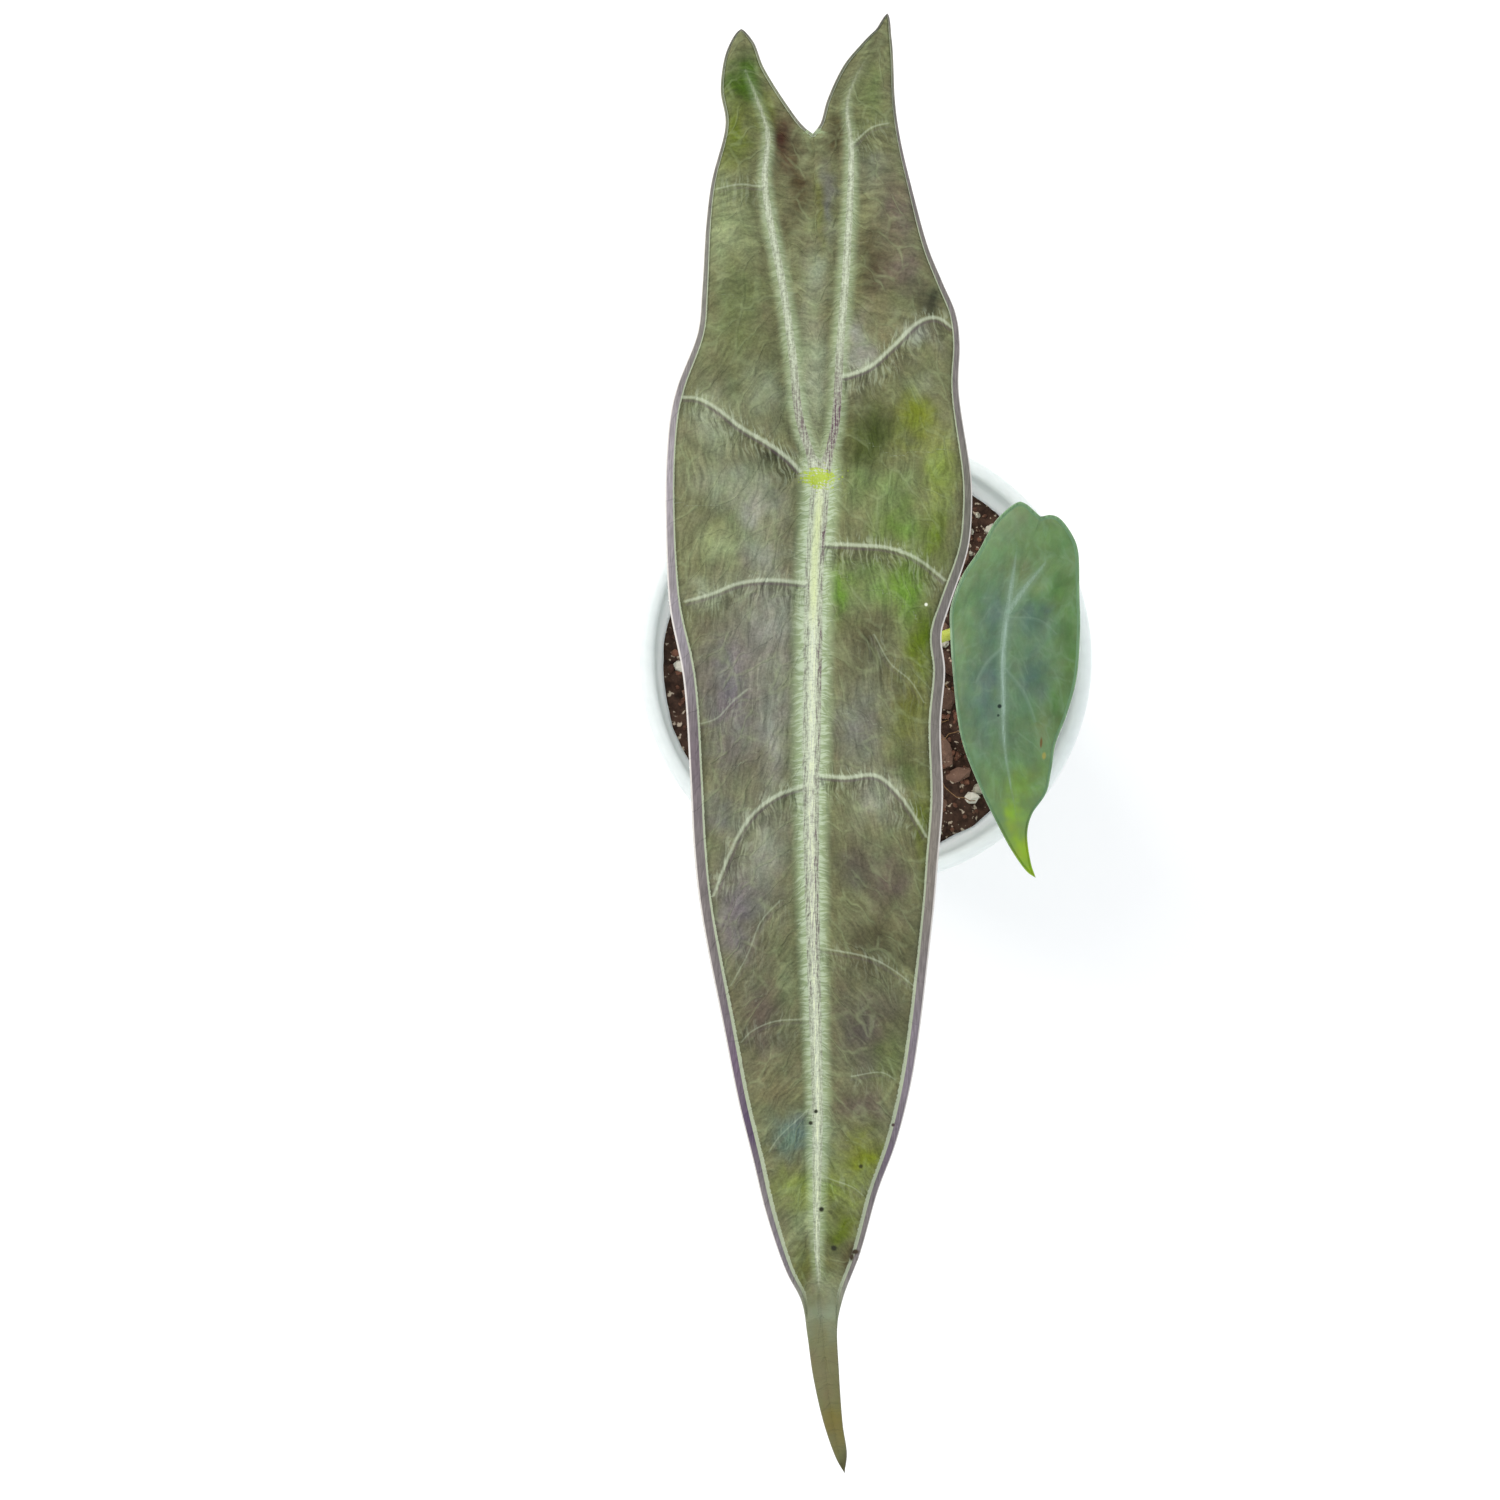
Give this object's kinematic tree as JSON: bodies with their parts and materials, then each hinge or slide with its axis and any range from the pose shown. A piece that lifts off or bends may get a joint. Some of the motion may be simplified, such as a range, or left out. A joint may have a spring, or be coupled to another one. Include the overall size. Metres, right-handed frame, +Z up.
{
  "type": "potted alocasia longiloba",
  "caption": "Young potted aroid with a long arrow-shaped leaf held level on a stalk and a small low leaf, rooted in bark mix in a thin tapered nursery pot.",
  "frame": {"origin": "centre of the flat disc in the middle of the pot's underside, on the pot's axis", "axes": "+Z up along the pot's axis, +Y towards the long leaf's back lobes, +X towards the small leaf"},
  "size_m": [0.095, 0.223, 0.2022],
  "materials": {
    "pot": "satin",
    "potting_mix": "matte",
    "stem": "satin",
    "stalk_large": "satin",
    "stalk_small": "satin",
    "blade_large": "satin",
    "blade_small": "satin"
  },
  "bodies": {
    "root": {"pot": "pot", "potting_mix": "potting_mix", "stem_base": "stem", "stalk_large": "stalk_large", "stalk_small": "stalk_small", "blade_large": "blade_large", "blade_small": "blade_small"}
  },
  "joints": []
}
